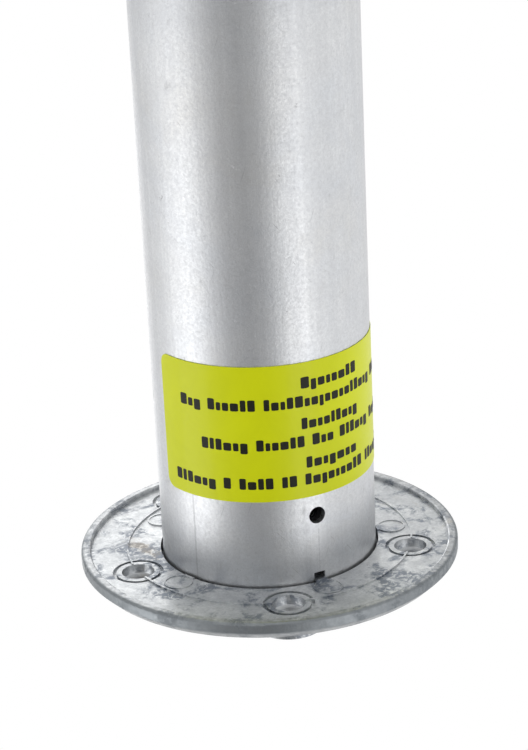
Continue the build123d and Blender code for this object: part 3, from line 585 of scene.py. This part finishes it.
def buildFloor():
    deselectAll()
    lowest = cadBox[0][2] - studio["floorDrop"]
    bpy.ops.mesh.primitive_plane_add(size=studio["floorSize"], location=(0, 0, lowest))
    floor = bpy.context.object
    floor.name = "studioFloor"
    material = bpy.data.materials.new("paleFloor")
    material.use_nodes = True
    shader = material.node_tree.nodes["Principled BSDF"]
    shader.inputs["Base Color"].default_value = (*studio["floorTone"], 1)
    shader.inputs["Roughness"].default_value = studio["floorRoughness"]
    floor.data.materials.append(material)


def buildWorld():
    world = bpy.data.worlds.new("paleStudio")
    bpy.context.scene.world = world
    world.use_nodes = True
    tree = world.node_tree
    tree.nodes.clear()
    direction = addNode(tree, "ShaderNodeTexCoord").outputs["Generated"]
    parts = addNode(tree, "ShaderNodeSeparateXYZ")
    tree.links.new(direction, parts.inputs[0])
    left = mathNode(tree, "MULTIPLY", parts.outputs[0], -1.0)
    front = mathNode(tree, "MULTIPLY", parts.outputs[1], -1.0)
    share = mapRange(tree, mathNode(tree, "ARCTAN2", left, front), -math.pi, math.pi, 0, 1)
    ramp = addNode(tree, "ShaderNodeValToRGB")
    ramp.color_ramp.interpolation = "EASE"
    points = ramp.color_ramp.elements
    for index, (angle, level) in enumerate(studioRamp):
        position = (angle + 180) / 360
        point = points[index] if index < 2 else points.new(position)
        point.position = position
        tone = level / studio["ambient"]
        point.color = (tone, tone, tone, 1)
    tree.links.new(share, ramp.inputs[0])
    around = addNode(tree, "ShaderNodeBackground", {"Strength": studio["ambient"]})
    tree.links.new(ramp.outputs[0], around.inputs[0])
    backdrop = addNode(tree, "ShaderNodeBackground", {"Color": (1, 1, 1, 1), "Strength": studio["backdrop"]})
    seen = addNode(tree, "ShaderNodeLightPath").outputs["Is Camera Ray"]
    mix = addNode(tree, "ShaderNodeMixShader")
    tree.links.new(seen, mix.inputs[0])
    tree.links.new(around.outputs[0], mix.inputs[1])
    tree.links.new(backdrop.outputs[0], mix.inputs[2])
    output = addNode(tree, "ShaderNodeOutputWorld")
    tree.links.new(mix.outputs[0], output.inputs[0])


lightAim = (0, 0, -0.1)
softLights = {
    "keyLight": {"place": (1.05, -0.30, 0.50), "size": 0.7, "power": 2.2},
    "fillLight": {"place": (-0.72, -0.85, 0.45), "size": 0.5, "power": 0.9},
    "backLight": {"place": (0.3, 1.1, 0.5), "size": 0.8, "power": 2.0},
    "lowLight": {"place": (0.35, 1.3, -0.40), "size": 0.8, "power": 3.2},
}


def buildLights():
    for name, values in softLights.items():
        data = bpy.data.lights.new(name, "AREA")
        data.shape = "SQUARE"
        data.size = values["size"]
        data.energy = values["power"]
        light = bpy.data.objects.new(name, data)
        bpy.context.scene.collection.objects.link(light)
        light.location = values["place"]
        aim = Vector(lightAim) - light.location
        light.rotation_euler = aim.to_track_quat("-Z", "Y").to_euler()


# the view is from below ground level, with the ring at the bottom
cameraView = {"aim": (-0.0007, 0.0167, -0.0421), "distance": 0.6074, "elevation": -21.06,
              "roll": 177.26, "lens": 103.3, "sensor": 36.0, "nearClip": 0.01}


def buildCamera():
    data = bpy.data.cameras.new("mainCamera")
    data.lens = cameraView["lens"]
    data.sensor_width = cameraView["sensor"]
    data.sensor_height = cameraView["sensor"]
    data.clip_start = cameraView["nearClip"]
    camera = bpy.data.objects.new("mainCamera", data)
    bpy.context.scene.collection.objects.link(camera)
    tilt = Matrix.Rotation(math.radians(90 - cameraView["elevation"]), 4, "X")
    roll = Matrix.Rotation(math.radians(cameraView["roll"]), 4, "Z")
    turned = tilt @ roll
    back = turned.to_3x3() @ Vector((0, 0, cameraView["distance"]))
    camera.matrix_world = Matrix.Translation(Vector(cameraView["aim"]) + back) @ turned
    bpy.context.scene.camera = camera


buildFloor()
buildWorld()
buildLights()
buildCamera()
bpy.context.scene.view_settings.view_transform = "Standard"
print("studio built")
